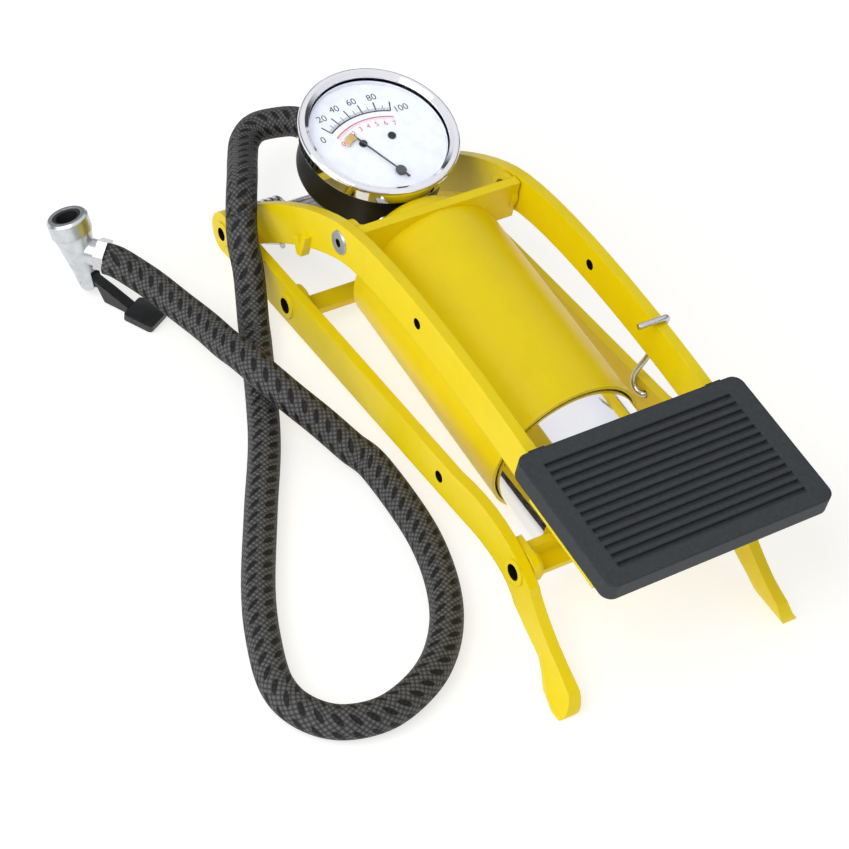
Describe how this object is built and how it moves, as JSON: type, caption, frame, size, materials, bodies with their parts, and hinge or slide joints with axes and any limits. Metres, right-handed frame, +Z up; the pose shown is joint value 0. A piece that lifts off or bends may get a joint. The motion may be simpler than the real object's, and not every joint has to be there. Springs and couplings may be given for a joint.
{
  "type": "foot pump with gauge",
  "caption": "Folding foot-operated tyre pump with a grooved rubber pedal, a tilted round pressure gauge and a braided hose that ends in a lever valve chuck; shown folded and latched.",
  "frame": {"origin": "floor, under the middle of the frame's length and width, without the hose and chuck", "axes": "+X from the hinge end to the pedal end, +Z up"},
  "size_m": [0.2773, 0.1832, 0.0731],
  "materials": {
    "yellow_paint": "gloss",
    "chrome": "polished",
    "steel": "satin",
    "zinc": "satin",
    "brass": "satin",
    "black_rubber": "matte",
    "pad_rubber": "matte",
    "black_enamel": "gloss",
    "dial_face": "matte",
    "clear_lens": "gloss",
    "braid": "matte",
    "black_plastic": "satin"
  },
  "bodies": {
    "base": {"right_rail": "yellow_paint", "left_rail": "yellow_paint", "rear_cross_bar": "yellow_paint", "cross_bar_rivets": "yellow_paint", "hinge_axle": "yellow_paint", "axle_spacers": "zinc", "axle_sleeve": "steel", "torsion_spring": "steel", "front_pivot_rivets": "yellow_paint", "hose": "braid", "chuck_nut": "chrome", "chuck_body": "zinc", "chuck_seal": "black_rubber", "chuck_core": "brass", "lever_pin": "steel"},
    "treadle": {"right_arm": "yellow_paint", "left_arm": "yellow_paint", "pedal_plate": "yellow_paint", "pedal_pad": "pad_rubber", "yoke_rivets": "zinc"},
    "piston": {"front_stirrup": "yellow_paint", "plunger_tube": "chrome", "plunger_cap": "zinc", "cup_seal": "black_rubber", "cup_washer": "steel", "cup_screw": "steel"},
    "barrel": {"barrel_tube": "yellow_paint", "guide_ring": "black_plastic", "yoke": "yellow_paint", "head_gasket": "black_rubber", "cylinder_head": "yellow_paint", "head_screws": "steel", "outlet_manifold": "zinc", "valve_spring": "steel", "hose_ferrule": "steel", "gauge_stem": "brass", "gauge_case": "black_enamel", "gauge_bezel": "chrome", "gauge_lens": "clear_lens", "gauge_dial": "dial_face", "dial_screws": "black_plastic", "bourdon_tube": "brass", "gauge_movement": "brass"},
    "needle": {"gauge_needle": "black_plastic"},
    "check_valve": {"valve_ball": "steel"},
    "latch": {"latch_wire": "steel"},
    "thumb_lever": {"chuck_lever": "black_plastic"}
  },
  "joints": [
    {"name": "treadle_hinge", "type": "hinge", "parent": "base", "child": "treadle", "pos_m": [-0.117, 0, 0.0085], "axis": [0, -1, 0], "range_deg": [0, 50], "deforming": ["torsion_spring", "hose"]},
    {"name": "piston_swing", "type": "hinge", "parent": "base", "child": "piston", "pos_m": [0.0808, 0, 0.028], "axis": [0, 1, 0], "range_deg": [0, 8.1]},
    {"name": "barrel_slide", "type": "slide", "parent": "piston", "child": "barrel", "axis": [-0.9983, 0, 0.0576], "range_m": [0, 0.06737]},
    {"name": "needle_turn", "type": "hinge", "parent": "barrel", "child": "needle", "pos_m": [-0.07372, 0, 0.06042], "axis": [-0.1547, 0, -0.988], "range_deg": [0, 43]},
    {"name": "valve_lift", "type": "slide", "parent": "barrel", "child": "check_valve", "axis": [-0.9983, 0, 0.0576], "range_m": [0, 0.0015], "deforming": ["valve_spring"]},
    {"name": "latch_swing", "type": "hinge", "parent": "base", "child": "latch", "pos_m": [0.0336, 0.0448, 0.02946], "axis": [0, 1, 0], "range_deg": [0, 75], "deforming": ["latch_wire"]},
    {"name": "thumb_lever_hinge", "type": "hinge", "parent": "base", "child": "thumb_lever", "pos_m": [-0.11805, -0.09979, 0.00672], "axis": [-0.5, 0.866, 0], "range_deg": [0, 90]}
  ],
  "couplings": [
    {"joint": "piston_swing", "follows": "treadle_hinge", "ratio": 0.162},
    {"joint": "barrel_slide", "follows": "treadle_hinge", "m_per_rad": 0.0772}
  ]
}
